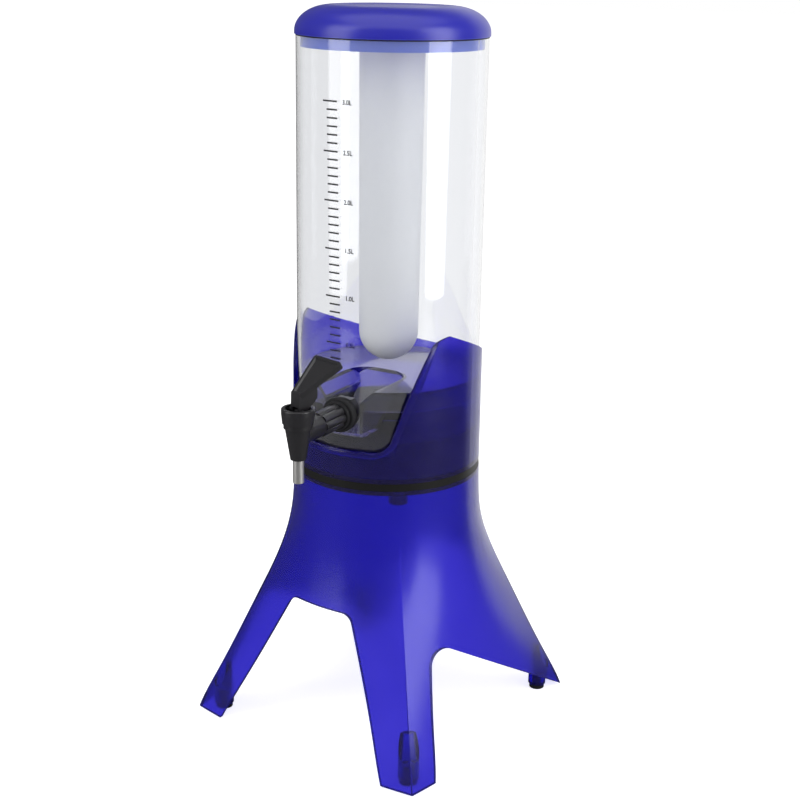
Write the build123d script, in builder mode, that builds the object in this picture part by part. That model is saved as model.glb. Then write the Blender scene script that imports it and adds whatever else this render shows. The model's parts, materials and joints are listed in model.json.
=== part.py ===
"""Table-top draft beer dispenser: a clear tower with an ice tube, a lever tap and a four-legged swivel stand.

Millimetres. +Z is up, the tower's axis is Z, the table is z = 0 and the tap points along -Y.
"""

import os
from math import cos, exp, log, pi, radians, sin, sqrt, tan

from build123d import *

os.makedirs("parts", exist_ok=True)

# Driving dimensions of the stand
shell_height = 208.0
shell_wall = 3.0
ridge_wall_factor = 1.15
neck_overhang = 2.3
leg_count = 4
leg_slope = 0.50
panel_slope = 0.277
waist_height = 159.0
waist_blend = 15.0
stand_turn = -6.8
deck_thickness = 4.0
outline_shares = (0.25, 0.5, 0.75, 0.92, 1.08)

# Arches between the legs, in the stand's own directions
arch_height = 112.5
arch_half_foot = 81.2
arch_half_top = 28.0
arch_corner = 11.0
side_front_foot = 83.0
side_front_top = 51.5
side_peak = 94.5
side_corner = 15.0

# Rubber feet and the bosses that hold them
foot_stand = 1.0
foot_radius = 6.2
foot_head = 4.0
foot_stem_radius = 4.0
foot_stem_length = 12.0
foot_inset = 21.0
boss_radius = 7.2
boss_top = 39.0

# Swivel between stand and holder
ring_thickness = 6.0
ring_width = 24.5
peg_radius = 7.0
peg_length = 12.5
peg_inset = 12.5
hub_radius = 25.0
retainer_radius = 36.0
retainer_thickness = 3.0
screw_count = 4
screw_inset = 9.0
screw_radius = 2.0
screw_length = 10.0
screw_head_radius = 3.8
screw_head = 2.4

# Beer tube and its raised floor
tube_radius = 70.0
tube_wall = 2.5
tube_length = 315.0
floor_height = 66.5
floor_thickness = 3.0
floor_skirt = 12.0
trough_half_width = 14.5
trough_flare = 9.5
trough_wall = 2.5
trough_back = 5.0
trough_round = 18.0
trough_flat = 22.0
trough_depth = 33.0

# Holder that the tube stands in
holder_floor = 3.0
holder_top_wall = 1.7
holder_bottom_wall = 2.2
rim_height = 99.3
rim_tilt = 21.6
rim_margin = 5.0
window_height = 20.3
window_half_bottom = 42.8
window_slope = 14.9
window_corner = 13.0
rim_tip_height = 107.5
rim_tip_round = 9.0

# Lid and ice tube
lid_overhang = 1.0
lid_height = 20.5
lid_wall = 2.6
lid_skirt = 2.0
lid_shoulder = 27.0
lid_dish = 0.8
lid_dish_slope = 8.0
plug_depth = 8.5
plug_wall = 2.4
plug_gap = 0.85
seal_thickness = 1.0
ice_top_radius = 24.0
ice_bottom_radius = 22.6
ice_wall = 1.6
ice_floor_gap = 7.5
ice_neck = 15.0
socket_wall = 2.6
socket_depth = 16.0
lip_thickness = 2.0
lip_reach = 1.1
lug_height = 3.0
lug_angle = 40.0
ice_seal_section = 0.75

# Tap
tap_height = 47.5
tap_reach = 126.0
shank_radius = 6.6
shank_bore = 4.0
shank_inside = 12.5
neck_collar_radius = 8.3
flange_radius = 13.4
flange_front = 6.5
flange_step = 2.6
flange_hub_radius = 10.9
flute_radius = 9.4
flute_length = 25.0
lobe_radius = 3.3
lobe_count = 8
inner_washer_radius = 12.0
inner_washer_thickness = 2.5
nut_radius = 12.5
nut_sides = 6
nut_thickness = 6.5
body_top = 9.0
body_bottom = 18.0
body_top_radius = 10.4
body_band = 3.5
body_step = 0.9
body_tip_radius = 5.7
chamber_radius = 6.0
seat_drop = 9.0
outlet_radius = 3.4
nozzle_radius = 4.0
nozzle_wall = 0.6
nozzle_socket = 6.0
nozzle_shoulder = 0.2
nozzle_drop = 17.5

# Bonnet, valve and lever
bonnet_radius = 12.0
bonnet_height = 11.0
bonnet_band = 4.0
bonnet_round = 1.0
mouth_radius = 9.25
mouth_floor = 3.0
spigot_length = 5.0
spigot_radius = 8.0
stem_radius = 2.5
stem_top = 1.4
plug_radius = 5.2
plug_height = 6.0
gland_section = 1.0
gland_depth = 2.7
pin_radius = 1.5
pin_below_rim = 2.5
pin_skin = 0.7
lever_turn = -16.0
lever_lean = 58.0
lever_base_rise = 13.6
lever_base_front = 2.5
lever_width = 9.2
lever_top_width = 29.0
lever_length = 36.5
lever_thickness = 4.2
lever_border = 1.8
lever_recess = 1.3
lever_draft = 35.0
lever_foot_radius = 4.2
lever_back = 7.4
lever_heel_back = 14.0
lever_heel_rise = 5.5
lever_slot_margin = 0.3
lever_corner = 2.0

# Clearances
running_fit = 0.08
bond_gap = 0.1
tube_fit = 0.3
swivel_gap = 0.3
seat_gap = 0.1
pin_fit = 0.05
stem_fit = 0.08

# Heights, radii and directions that follow from the values above
leg_step = 360 / leg_count
neck_radius = tube_radius + neck_overhang
peg_circle = neck_radius - peg_inset
screw_circle = hub_radius - screw_inset
lid_radius = tube_radius + lid_overhang
deck_z = foot_stand + shell_height
ring_top = deck_z + ring_thickness
tube_bottom = ring_top + holder_floor
tube_top = tube_bottom + tube_length
tube_bore = tube_radius - tube_wall
floor_z = tube_bottom + floor_height
holder_bore = tube_radius + tube_fit
lid_z = tube_top + seal_thickness
plug_outer = tube_bore - plug_gap
tap_z = tube_bottom + tap_height
body_top_z = tap_z + body_top
body_bottom_z = tap_z - body_bottom
seat_z = tap_z - seat_drop
bonnet_top_z = body_top_z + bonnet_height
mouth_z = body_top_z + mouth_floor
pin_z = bonnet_top_z - pin_below_rim
tap_axis = Axis((0, -tap_reach, 0), (0, 0, 1))
stand_right = Vector(cos(radians(stand_turn)), sin(radians(stand_turn)), 0)
stand_rear = Vector(-sin(radians(stand_turn)), cos(radians(stand_turn)), 0)
stand_plane = Plane((0, 0, 0), x_dir=stand_right, z_dir=(0, 0, 1))
stand_front = Plane((0, 0, 0), x_dir=stand_right, z_dir=-stand_rear)
stand_side = Plane((0, 0, 0), x_dir=stand_rear, z_dir=stand_right)


def flare(height: float, slope: float) -> float:
    """Radius of the stand at a height above the shell's lower edge, for one slope of flare."""
    return neck_radius + slope * waist_blend * log(1 + exp((waist_height - height) / waist_blend))


def stand_outline(height: float, wall: float = 0.0) -> Sketch:
    """Draw the stand's four-cornered outline, drawn in by a wall, at one height of the shell."""
    corner = flare(height, leg_slope) - wall * sqrt(1 + leg_slope**2) * ridge_wall_factor
    panel = flare(height, panel_slope) - wall * sqrt(1 + panel_slope**2)
    corner = max(corner, panel)
    with BuildSketch(stand_plane.offset(foot_stand + height)) as outline:
        with BuildLine():
            for side in range(leg_count):
                middle = radians(leg_step * side)
                start = middle - radians(leg_step / 2)
                end = middle + radians(leg_step / 2)
                ThreePointArc(
                    (corner * cos(start), corner * sin(start)),
                    (panel * cos(middle), panel * sin(middle)),
                    (corner * cos(end), corner * sin(end)),
                )
        make_face()
    return outline.sketch


def outline_heights(low: float, high: float) -> list[float]:
    """Heights at which the stand is outlined, from low to high, closer together at the waist."""
    inner = [share * waist_height for share in outline_shares]
    return [low] + [height for height in inner if low < height < high] + [high]


# Stand: a moulded shell with four folded legs, open below
leg_tip = flare(0, leg_slope)
foot_circle = leg_tip - foot_inset
outer_outlines = [stand_outline(height) for height in outline_heights(0, shell_height)]
hollow_heights = outline_heights(-foot_stand, shell_height - deck_thickness)
hollow_outlines = [stand_outline(height, shell_wall) for height in hollow_heights]

with BuildPart() as stand_block:
    loft(outer_outlines)

with BuildPart() as stand_hollow:
    loft(hollow_outlines)

with BuildPart() as foot_bosses:
    with BuildSketch(stand_plane.offset(foot_head)):
        with PolarLocations(foot_circle, leg_count, start_angle=leg_step / 2):
            Circle(boss_radius)
    extrude(amount=boss_top - foot_head)
    add(stand_block.part, mode=Mode.INTERSECT)

with BuildPart() as base_shell:
    add(stand_block.part)
    add(stand_hollow.part, mode=Mode.SUBTRACT)
    with BuildSketch(stand_front) as arch_sketch:
        with BuildLine():
            Polyline(
                (-arch_half_foot, 0),
                (-arch_half_top, foot_stand + arch_height),
                (arch_half_top, foot_stand + arch_height),
                (arch_half_foot, 0),
                close=True,
            )
        make_face()
        fillet(arch_sketch.vertices().group_by(Axis.Y)[-1], arch_corner)
    extrude(amount=2 * leg_tip, both=True, mode=Mode.SUBTRACT)
    with BuildSketch(stand_side) as side_sketch:
        with BuildLine():
            Polyline(
                (-side_front_foot, 0),
                (-side_front_top, foot_stand + side_peak),
                (leg_tip / sqrt(2), foot_stand),
                (leg_tip / sqrt(2), 0),
                close=True,
            )
        make_face()
        fillet(side_sketch.vertices().group_by(Axis.Y)[-1], side_corner)
    extrude(amount=2 * leg_tip, both=True, mode=Mode.SUBTRACT)
    add(foot_bosses.part)
    with BuildSketch(stand_plane.offset(foot_head)):
        with PolarLocations(foot_circle, leg_count, start_angle=leg_step / 2):
            Circle(foot_stem_radius + pin_fit)
    extrude(amount=foot_stem_length + pin_fit, mode=Mode.SUBTRACT)
    with BuildSketch(stand_plane.offset(deck_z)):
        Circle(hub_radius + running_fit)
        with PolarLocations(peg_circle, leg_count, start_angle=leg_step / 2):
            Circle(peg_radius + pin_fit)
    extrude(amount=-2 * deck_thickness, mode=Mode.SUBTRACT)

# Four rubber feet, pressed up into the bosses
with BuildPart() as rubber_feet:
    with BuildSketch(stand_plane):
        with PolarLocations(foot_circle, leg_count, start_angle=leg_step / 2):
            Circle(foot_radius)
    extrude(amount=foot_head)
    chamfer(rubber_feet.edges().group_by(Axis.Z)[0], foot_stand / 4)
    with BuildSketch(stand_plane.offset(foot_head)):
        with PolarLocations(foot_circle, leg_count, start_angle=leg_step / 2):
            Circle(foot_stem_radius)
    extrude(amount=foot_stem_length)

# Black ring that the holder turns on, pegged into the stand's deck
with BuildPart() as swivel_ring:
    with BuildSketch(stand_plane.offset(deck_z)):
        Circle(neck_radius)
        Circle(neck_radius - ring_width, mode=Mode.SUBTRACT)
    extrude(amount=ring_thickness)
    with BuildSketch(stand_plane.offset(deck_z)):
        with PolarLocations(peg_circle, leg_count, start_angle=leg_step / 2):
            Circle(peg_radius)
    extrude(amount=-peg_length)

# Holder: an open cup with a slanted rim, a window for the tap and a hub below, turned as the stand is
hub_bottom = deck_z - deck_thickness - swivel_gap
rim_z = tube_bottom + rim_height
rim_peak = rim_z + neck_radius * tan(radians(rim_tilt)) + rim_margin
screw_depth = screw_length - retainer_thickness

with BuildPart() as holder:
    with BuildSketch(Plane.XZ):
        with BuildLine():
            Polyline(
                (0, hub_bottom),
                (hub_radius, hub_bottom),
                (hub_radius, ring_top),
                (holder_bore + holder_bottom_wall, ring_top),
                (holder_bore + holder_top_wall, rim_peak),
                (holder_bore, rim_peak),
                (holder_bore, tube_bottom),
                (0, tube_bottom),
                close=True,
            )
        make_face()
    revolve(axis=Axis.Z)
    split(
        bisect_by=Plane((0, 0, rim_z), z_dir=stand_rear * tan(radians(rim_tilt)) + Vector(0, 0, 1)),
        keep=Keep.BOTTOM,
    )
    window_z = tube_bottom + window_height
    tip_z = tube_bottom + rim_tip_height
    window_half_top = window_half_bottom + (tip_z - window_z) * tan(radians(window_slope))
    with BuildSketch(stand_front) as window_sketch:
        with BuildLine():
            Polyline(
                (-window_half_bottom, window_z),
                (-window_half_top, tip_z),
                (-2 * tube_radius, tip_z),
                (-2 * tube_radius, rim_peak),
                (2 * tube_radius, rim_peak),
                (2 * tube_radius, tip_z),
                (window_half_top, tip_z),
                (window_half_bottom, window_z),
                close=True,
            )
        make_face()
        fillet(window_sketch.vertices().group_by(Axis.Y)[1].sort_by(Axis.X)[1:3], rim_tip_round)
        fillet(window_sketch.vertices().group_by(Axis.Y)[0], window_corner)
    extrude(amount=2 * tube_radius, mode=Mode.SUBTRACT)
    with BuildSketch(Plane.XY.offset(hub_bottom)):
        with PolarLocations(screw_circle, screw_count):
            Circle(screw_radius)
    extrude(amount=screw_depth, mode=Mode.SUBTRACT)

# Plate under the deck that keeps the holder on the stand, and its screws
with BuildPart() as swivel_retainer:
    with BuildSketch(Plane.XY.offset(hub_bottom)):
        Circle(retainer_radius)
        with PolarLocations(screw_circle, screw_count):
            Circle(screw_radius, mode=Mode.SUBTRACT)
    extrude(amount=-retainer_thickness)

with BuildPart() as retainer_screws:
    with BuildSketch(Plane.XY.offset(hub_bottom - retainer_thickness)):
        with PolarLocations(screw_circle, screw_count):
            Circle(screw_head_radius)
    extrude(amount=-screw_head)
    with BuildSketch(Plane.XY.offset(hub_bottom - retainer_thickness)):
        with PolarLocations(screw_circle, screw_count):
            Circle(screw_radius - pin_fit)
    extrude(amount=screw_length - seat_gap)

# Clear beer tube with a hole for the tap
with BuildPart() as beer_tube:
    with BuildSketch(Plane.XY.offset(tube_bottom)):
        Circle(tube_radius)
        Circle(tube_bore, mode=Mode.SUBTRACT)
    extrude(amount=tube_length)
    with BuildSketch(Plane.XZ):
        with Locations((0, tap_z)):
            Circle(shank_radius + bond_gap)
    extrude(amount=2 * tube_radius, mode=Mode.SUBTRACT)

# Raised floor bonded inside the tube, with a trough that falls towards the tap
floor_radius = tube_bore - bond_gap
trough_z = floor_z - trough_depth
trough_foot = floor_radius - trough_flat


def trough_block(growth: float) -> Part:
    """Make the solid of the trough, grown by a wall at its sides, its back and below."""
    half_width = trough_half_width + growth
    with BuildPart() as block:
        with BuildSketch(Plane.YZ):
            with BuildLine():
                Polyline(
                    (-trough_back + growth, floor_z),
                    (-trough_foot + growth, trough_z - growth),
                    (-tube_radius, trough_z - growth),
                    (-tube_radius, floor_z),
                    close=True,
                )
            make_face()
        extrude(amount=half_width + trough_flare, both=True)
        with BuildSketch(Plane.XZ):
            with BuildLine():
                Polyline(
                    (-half_width, trough_z - growth),
                    (-half_width, floor_z - trough_flare),
                    (-half_width - trough_flare, floor_z),
                    (half_width + trough_flare, floor_z),
                    (half_width, floor_z - trough_flare),
                    (half_width, trough_z - growth),
                    close=True,
                )
            make_face()
        extrude(amount=tube_radius, mode=Mode.INTERSECT)
        plan_half = half_width + trough_flare
        with BuildSketch(Plane.XY.offset(trough_z - growth)) as plan_sketch:
            with BuildLine():
                Polyline(
                    (-plan_half, -tube_radius),
                    (-plan_half, -trough_back + growth),
                    (plan_half, -trough_back + growth),
                    (plan_half, -tube_radius),
                    close=True,
                )
            make_face()
            fillet(plan_sketch.vertices().group_by(Axis.Y)[-1], trough_round + growth)
        extrude(amount=trough_depth + growth, mode=Mode.INTERSECT)
    return block.part


with BuildPart() as floor_bounds:
    with BuildSketch(Plane.XY.offset(trough_z - trough_wall)):
        Circle(floor_radius)
    extrude(amount=floor_z - trough_z + trough_wall)

with BuildPart() as tube_floor:
    with BuildSketch(Plane.XY.offset(floor_z - floor_thickness - floor_skirt)):
        Circle(floor_radius)
        Circle(floor_radius - floor_thickness, mode=Mode.SUBTRACT)
    extrude(amount=floor_skirt)
    with BuildSketch(Plane.XY.offset(floor_z - floor_thickness)):
        Circle(floor_radius)
    extrude(amount=floor_thickness)
    add(trough_block(trough_wall))
    add(trough_block(0), mode=Mode.SUBTRACT)
    add(floor_bounds.part, mode=Mode.INTERSECT)

# Tap body: a tapered barrel on a shank that goes through the tube's wall
shank_end = tube_bore - shank_inside
flange_face = tube_radius + flange_front
collar_face = flange_face + flute_length

with BuildPart() as tap_body:
    with BuildSketch(Plane.XZ.offset(tap_reach)):
        with BuildLine():
            Polyline(
                (0, body_bottom_z),
                (body_tip_radius, body_bottom_z),
                (body_top_radius - body_step, body_top_z - body_band),
                (body_top_radius, body_top_z - body_band),
                (body_top_radius, body_top_z),
                (0, body_top_z),
                close=True,
            )
        make_face()
    revolve(axis=tap_axis)
    with BuildSketch(Plane.XZ.offset(shank_end)):
        with Locations((0, tap_z)):
            Circle(shank_radius)
    extrude(amount=tap_reach - shank_end)
    with BuildSketch(Plane.XZ.offset(collar_face)):
        with Locations((0, tap_z)):
            Circle(neck_collar_radius)
    extrude(amount=tap_reach - collar_face)
    with BuildSketch(Plane.XZ.offset(shank_end)):
        with Locations((0, tap_z)):
            Circle(shank_bore)
    extrude(amount=tap_reach - shank_end, mode=Mode.SUBTRACT)
    with BuildSketch(Plane.XZ.offset(tap_reach)):
        with BuildLine():
            Polyline(
                (0, body_bottom_z),
                (nozzle_radius - nozzle_shoulder + bond_gap, body_bottom_z),
                (nozzle_radius - nozzle_shoulder + bond_gap, body_bottom_z + nozzle_socket),
                (outlet_radius, body_bottom_z + nozzle_socket),
                (outlet_radius, seat_z),
                (chamber_radius, seat_z),
                (chamber_radius, body_top_z - spigot_length - seat_gap),
                (spigot_radius + running_fit, body_top_z - spigot_length - seat_gap),
                (spigot_radius + running_fit, body_top_z),
                (0, body_top_z),
                close=True,
            )
        make_face()
    revolve(axis=tap_axis, mode=Mode.SUBTRACT)

# Steel nozzle with a slightly slimmer tail pressed into the barrel
with BuildPart() as nozzle_tube:
    with BuildSketch(Plane.XY.offset(body_bottom_z)):
        with Locations((0, -tap_reach)):
            Circle(nozzle_radius)
    extrude(amount=-nozzle_drop)
    with BuildSketch(Plane.XY.offset(body_bottom_z)):
        with Locations((0, -tap_reach)):
            Circle(nozzle_radius - nozzle_shoulder)
    extrude(amount=nozzle_socket - seat_gap)
    with BuildSketch(Plane.XY.offset(body_bottom_z + nozzle_socket)):
        with Locations((0, -tap_reach)):
            Circle(nozzle_radius - nozzle_wall)
    extrude(amount=-(nozzle_socket + nozzle_drop), mode=Mode.SUBTRACT)

# Flange washer, shaped to the tube outside
with BuildPart() as flange_washer:
    with BuildSketch(Plane.XZ.offset(tube_radius - flange_front)):
        with Locations((0, tap_z)):
            Circle(flange_radius)
            Circle(shank_radius + bond_gap, mode=Mode.SUBTRACT)
    extrude(amount=2 * flange_front - flange_step)
    fillet(flange_washer.edges().group_by(Axis.Y)[0].sort_by(SortBy.LENGTH)[-1], flange_step / 2)
    with BuildSketch(Plane.XZ.offset(flange_face - flange_step)):
        with Locations((0, tap_z)):
            Circle(flange_hub_radius)
            Circle(shank_radius + bond_gap, mode=Mode.SUBTRACT)
    extrude(amount=flange_step)
    fillet(flange_washer.edges().group_by(Axis.Y)[0].sort_by(SortBy.LENGTH)[-1], flange_step / 3)
    with BuildSketch(Plane.XY.offset(tap_z - 2 * flange_radius)):
        Circle(tube_radius + seat_gap)
    extrude(amount=4 * flange_radius, mode=Mode.SUBTRACT)

# Lobed collar between the flange and the barrel
with BuildPart() as shank_collar:
    with BuildSketch(Plane.XZ.offset(flange_face)):
        with Locations((0, tap_z)):
            Circle(flute_radius - lobe_radius)
            with PolarLocations(flute_radius - lobe_radius, lobe_count):
                Circle(lobe_radius)
            Circle(shank_radius + bond_gap, mode=Mode.SUBTRACT)
    extrude(amount=flute_length)

# Rubber washer and nut on the shank inside the tube
with BuildPart() as inner_washer:
    with BuildSketch(Plane.XZ.offset(tube_bore - inner_washer_thickness)):
        with Locations((0, tap_z)):
            Circle(inner_washer_radius)
            Circle(shank_radius + bond_gap, mode=Mode.SUBTRACT)
    extrude(amount=2 * inner_washer_thickness)
    with BuildSketch(Plane.XY.offset(tap_z - inner_washer_radius)):
        Circle(tube_bore - seat_gap)
    extrude(amount=2 * inner_washer_radius, mode=Mode.INTERSECT)

with BuildPart() as lock_nut:
    with BuildSketch(Plane.XZ.offset(tube_bore - inner_washer_thickness)):
        with Locations((0, tap_z)):
            RegularPolygon(nut_radius, nut_sides)
            Circle(shank_radius + bond_gap, mode=Mode.SUBTRACT)
    extrude(amount=-nut_thickness)

# Lever directions: the bonnet is turned a little about the barrel's axis
lever_forward = Vector(sin(radians(lever_turn)), -cos(radians(lever_turn)), 0)
lever_across = Vector(cos(radians(lever_turn)), sin(radians(lever_turn)), 0)
pin_centre = Vector(0, -tap_reach, pin_z)
lever_side = Plane(pin_centre, x_dir=lever_forward, z_dir=-lever_across)

# Bonnet: the ring-shaped cap of the barrel, with a mouth for the lever
with BuildPart() as bonnet:
    with BuildSketch(Plane.XZ.offset(tap_reach)):
        with BuildLine():
            Polyline(
                (stem_radius + stem_fit, body_top_z - spigot_length),
                (spigot_radius, body_top_z - spigot_length),
                (spigot_radius, body_top_z),
                (body_top_radius + body_step, body_top_z),
                (bonnet_radius, bonnet_top_z - bonnet_band),
                (bonnet_radius, bonnet_top_z),
                (mouth_radius, bonnet_top_z),
                (mouth_radius, mouth_z),
                (stem_radius + stem_fit, mouth_z),
                close=True,
            )
        make_face()
    revolve(axis=tap_axis)
    fillet(bonnet.edges().group_by(Axis.Z)[-1].sort_by(SortBy.LENGTH)[-1], bonnet_round)
    with BuildSketch(Plane.XY.offset(body_top_z - spigot_length)):
        with Locations((0, -tap_reach)):
            Circle(stem_radius + 2 * gland_section + 2 * stem_fit)
    extrude(amount=gland_depth, mode=Mode.SUBTRACT)
    with BuildSketch(lever_side):
        Circle(pin_radius)
    extrude(amount=bonnet_radius - pin_skin + seat_gap, both=True, mode=Mode.SUBTRACT)

# Rubber ring that seals the stem in the bonnet
with BuildPart() as stem_seal:
    with BuildSketch(Plane.XZ.offset(tap_reach)):
        with Locations((stem_radius + stem_fit + gland_section, body_top_z - spigot_length + gland_depth / 2)):
            Circle(gland_section)
    revolve(axis=tap_axis)

# Valve stem with the rubber plug that closes the seat
plug_bottom = seat_z + seat_gap
stem_bottom = plug_bottom + plug_height / 3

with BuildPart() as valve_stem:
    with BuildSketch(Plane.XY.offset(stem_bottom)):
        with Locations((0, -tap_reach)):
            Circle(stem_radius)
    extrude(amount=mouth_z + stem_top - stem_bottom)

with BuildPart() as valve_plug:
    with BuildSketch(Plane.XY.offset(plug_bottom)):
        with Locations((0, -tap_reach)):
            Circle(plug_radius)
    extrude(amount=plug_height)
    fillet(valve_plug.edges().group_by(Axis.Z)[-1], plug_height / 4)
    with BuildSketch(Plane.XY.offset(stem_bottom)):
        with Locations((0, -tap_reach)):
            Circle(stem_radius)
    extrude(amount=plug_height, mode=Mode.SUBTRACT)

# Lever: a clevis foot in the bonnet's mouth under a broad paddle that leans back
lean = radians(lever_lean)
paddle_up = Vector(0, 0, cos(lean)) - lever_forward * sin(lean)
paddle_out = Vector(0, 0, sin(lean)) + lever_forward * cos(lean)
paddle_base = pin_centre + lever_forward * lever_base_front + Vector(0, 0, lever_base_rise)
paddle_plane = Plane(paddle_base, x_dir=lever_across, z_dir=paddle_out)
heel_run = (lever_heel_back + lever_base_front - lever_thickness * cos(lean)) / sin(lean)
heel_top = lever_base_rise + heel_run * cos(lean) - lever_thickness * sin(lean)

with BuildPart() as lever:
    with BuildSketch(lever_side):
        with BuildLine():
            Polyline(
                (lever_foot_radius * cos(pi / 3), -lever_foot_radius * sin(pi / 3)),
                (lever_base_front + lever_slot_margin, pin_below_rim),
                (lever_base_front, lever_base_rise),
                (-lever_heel_back, heel_top),
                (-lever_heel_back, pin_below_rim + lever_heel_rise),
                (-lever_back, pin_below_rim),
                (-lever_foot_radius, 0),
            )
            ThreePointArc(
                (-lever_foot_radius, 0),
                (-lever_foot_radius * cos(pi / 3), -lever_foot_radius * sin(pi / 3)),
                (lever_foot_radius * cos(pi / 3), -lever_foot_radius * sin(pi / 3)),
            )
        make_face()
    extrude(amount=lever_width / 2, both=True)
    with BuildSketch(paddle_plane) as paddle_sketch:
        with BuildLine():
            Polyline(
                (-lever_width / 2, 0),
                (lever_width / 2, 0),
                (lever_top_width / 2, lever_length),
                (-lever_top_width / 2, lever_length),
                close=True,
            )
        make_face()
        fillet(paddle_sketch.vertices().sort_by(Axis.Y)[-2:], lever_corner)
    extrude(amount=-lever_thickness)
    with BuildSketch(paddle_plane) as hollow_sketch:
        add(paddle_sketch.sketch_local)
        offset(amount=-lever_border, mode=Mode.REPLACE)
    extrude(amount=-lever_recess, taper=lever_draft, mode=Mode.SUBTRACT)
    with BuildSketch(lever_side):
        Circle(lever_foot_radius + lever_slot_margin)
    extrude(amount=stem_radius + lever_slot_margin, both=True, mode=Mode.SUBTRACT)
    with BuildSketch(lever_side):
        Circle(pin_radius + running_fit)
    extrude(amount=lever_width, both=True, mode=Mode.SUBTRACT)

# Cross pin that the lever tilts on, held inside the bonnet's wall
with BuildPart() as lever_pin:
    with BuildSketch(lever_side):
        Circle(pin_radius - pin_fit)
    extrude(amount=bonnet_radius - pin_skin, both=True)

# Lid: a domed cap with a plug ring, and a bayonet socket for the ice tube
lid_top = lid_z + lid_height
shoulder_centre = (lid_radius - lid_shoulder, lid_z + lid_skirt)
shoulder_rise = lid_height - lid_skirt
plug_inner = plug_outer - plug_wall
socket_bore = ice_top_radius + lug_height / 2
socket_z = lid_top - lid_wall - lid_dish - socket_depth
lip_radius = socket_bore - lip_reach

with BuildPart() as lid_cap:
    with BuildSketch(Plane.XZ):
        with BuildLine():
            Polyline(
                (0, lid_top - lid_dish),
                (lid_radius - lid_shoulder - lid_dish_slope, lid_top - lid_dish),
                (lid_radius - lid_shoulder, lid_top),
            )
            EllipticalCenterArc(shoulder_centre, lid_shoulder, shoulder_rise, start_angle=0, arc_size=90)
            Polyline(
                (lid_radius, lid_z + lid_skirt),
                (lid_radius, lid_z),
                (plug_outer, lid_z),
                (plug_outer, lid_z - plug_depth),
                (plug_inner, lid_z - plug_depth),
                (plug_inner, lid_z + lid_skirt),
            )
            EllipticalCenterArc(
                shoulder_centre,
                plug_inner - lid_radius + lid_shoulder,
                shoulder_rise - lid_wall - lid_dish,
                start_angle=0,
                arc_size=90,
            )
            Polyline(
                (lid_radius - lid_shoulder, lid_top - lid_wall - lid_dish),
                (0, lid_top - lid_wall - lid_dish),
                (0, lid_top - lid_dish),
            )
        make_face()
    revolve(axis=Axis.Z)
    with BuildSketch(Plane.XY.offset(socket_z)):
        Circle(socket_bore + socket_wall)
        Circle(socket_bore, mode=Mode.SUBTRACT)
    extrude(amount=socket_depth + lid_wall / 2)
    with BuildSketch(Plane.XY.offset(socket_z)):
        Circle(socket_bore + socket_wall / 2)
        Circle(lip_radius, mode=Mode.SUBTRACT)
        with PolarLocations(0, 2):
            SlotArc(
                CenterArc((0, 0), socket_bore, 90 - lug_angle, 2 * lug_angle),
                2 * lip_reach,
                mode=Mode.SUBTRACT,
            )
    extrude(amount=lip_thickness)

# Silicone ring between lid and tube
with BuildPart() as lid_seal:
    with BuildSketch(Plane.XY.offset(tube_top)):
        Circle(tube_radius)
        Circle(plug_outer + seat_gap, mode=Mode.SUBTRACT)
    extrude(amount=seal_thickness)

# Ice tube: a long round-ended tube that hangs from the lid's bayonet
ice_bottom = floor_z + ice_floor_gap
ice_rim = socket_z + ice_neck
lug_radius = socket_bore - swivel_gap
lug_z = socket_z + lip_thickness

with BuildPart() as ice_tube:
    with BuildSketch(Plane.XZ):
        with BuildLine():
            ThreePointArc(
                (0, ice_bottom),
                (ice_bottom_radius * sin(pi / 4), ice_bottom + ice_bottom_radius * (1 - cos(pi / 4))),
                (ice_bottom_radius, ice_bottom + ice_bottom_radius),
            )
            Polyline(
                (ice_bottom_radius, ice_bottom + ice_bottom_radius),
                (ice_top_radius, socket_z - ice_neck),
                (ice_top_radius, ice_rim),
                (ice_top_radius - ice_wall, ice_rim),
                (ice_top_radius - ice_wall, socket_z - ice_neck),
                (ice_bottom_radius - ice_wall, ice_bottom + ice_bottom_radius),
            )
            ThreePointArc(
                (ice_bottom_radius - ice_wall, ice_bottom + ice_bottom_radius),
                (
                    (ice_bottom_radius - ice_wall) * sin(pi / 4),
                    ice_bottom + ice_bottom_radius - (ice_bottom_radius - ice_wall) * cos(pi / 4),
                ),
                (0, ice_bottom + ice_wall),
            )
            Line((0, ice_bottom + ice_wall), (0, ice_bottom))
        make_face()
    revolve(axis=Axis.Z)
    with BuildSketch(Plane.XY.offset(lug_z)):
        for side in (0, 180):
            SlotArc(
                CenterArc((0, 0), (lug_radius + ice_top_radius) / 2, side - lug_angle / 2, lug_angle),
                lug_radius - ice_top_radius,
            )
    extrude(amount=lug_height)

with BuildPart() as ice_tube_seal:
    with BuildSketch(Plane.XZ):
        with Locations((ice_top_radius + ice_seal_section, lug_z + 2 * lug_height)):
            Circle(ice_seal_section - pin_fit)
    revolve(axis=Axis.Z)

# Label and write every piece
pieces = {
    "base_shell": base_shell,
    "rubber_feet": rubber_feet,
    "swivel_ring": swivel_ring,
    "holder": holder,
    "swivel_retainer": swivel_retainer,
    "retainer_screws": retainer_screws,
    "beer_tube": beer_tube,
    "tube_floor": tube_floor,
    "tap_body": tap_body,
    "nozzle_tube": nozzle_tube,
    "flange_washer": flange_washer,
    "shank_collar": shank_collar,
    "inner_washer": inner_washer,
    "lock_nut": lock_nut,
    "bonnet": bonnet,
    "stem_seal": stem_seal,
    "valve_stem": valve_stem,
    "valve_plug": valve_plug,
    "lever": lever,
    "lever_pin": lever_pin,
    "lid_cap": lid_cap,
    "lid_seal": lid_seal,
    "ice_tube": ice_tube,
    "ice_tube_seal": ice_tube_seal,
}
for label, piece in pieces.items():
    piece.part.label = label
    export_step(piece.part, f"parts/{label}.step")
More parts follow.
